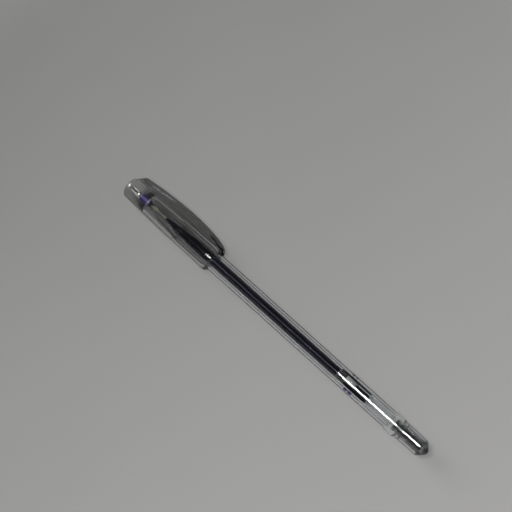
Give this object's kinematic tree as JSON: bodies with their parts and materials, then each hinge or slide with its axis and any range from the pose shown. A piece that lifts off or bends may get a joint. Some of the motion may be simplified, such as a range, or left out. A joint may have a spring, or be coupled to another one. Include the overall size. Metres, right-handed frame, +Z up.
{
  "type": "ballpoint pen",
  "caption": "Capped stick ballpoint pen with a clear barrel, pull-out refill, smoky clear cap with a springy clip and a seal plug, and a press-in tail plug.",
  "frame": {"origin": "on the table, under the middle of the lying pen's box", "axes": "+X along the pen from the cap's closed end to the tail plug, +Y to the side the clip points to, +Z up from the table"},
  "size_m": [0.15, 0.0136, 0.0101],
  "materials": {
    "clear_plastic": "clear moulded polystyrene, polished",
    "smoky_plastic": "smoke-grey clear moulded plastic, polished",
    "tube_plastic": "natural extruded polypropylene, slightly milky",
    "dark_plastic": "dark smoke-grey plastic, polished",
    "label_film": "clear printed film with plain dark bars",
    "ink": "blue-black ballpoint ink",
    "grease": "pale translucent follower grease",
    "blue_elastomer": "deep blue soft moulding",
    "nickel_silver": "turned nickel silver",
    "ball_metal": "polished tungsten carbide"
  },
  "bodies": {
    "barrel": {"barrel_tube": "clear_plastic", "barrel_label": "label_film"},
    "tail": {"tail_plug": "dark_plastic"},
    "nose": {"nose_cone": "clear_plastic"},
    "refill": {"nib_holder": "tube_plastic", "writing_tip": "nickel_silver", "ink_tube": "tube_plastic", "ink_column": "ink", "grease_follower": "grease"},
    "ball": {"tip_ball": "ball_metal"},
    "cap": {"cap_shell": "smoky_plastic", "cap_seal_plug": "blue_elastomer"},
    "clip": {"cap_clip": "smoky_plastic"}
  },
  "joints": [
    {"name": "tail_plug_pull", "type": "slide", "parent": "barrel", "child": "tail", "axis": [1, 0, 0], "range_m": [0, 0.02]},
    {"name": "nose_pull", "type": "slide", "parent": "barrel", "child": "nose", "axis": [-1, 0, 0], "range_m": [0, 0.1]},
    {"name": "refill_slide", "type": "slide", "parent": "nose", "child": "refill", "axis": [1, 0, 0], "range_m": [0, 0.0125]},
    {"name": "ball_roll", "type": "hinge", "parent": "refill", "child": "ball", "pos_m": [-0.06325, -0.00176, 0.00505], "axis": [0, 1, 0], "continuous": true},
    {"name": "cap_pull", "type": "slide", "parent": "nose", "child": "cap", "axis": [-1, 0, 0], "range_m": [0, 0.05]},
    {"name": "clip_flex", "type": "hinge", "parent": "cap", "child": "clip", "pos_m": [-0.0732, 0.00248, 0.00354], "axis": [0, 0.3347, 0.9423], "range_deg": [0, 4], "stiffness_Nm_per_rad": 1}
  ]
}
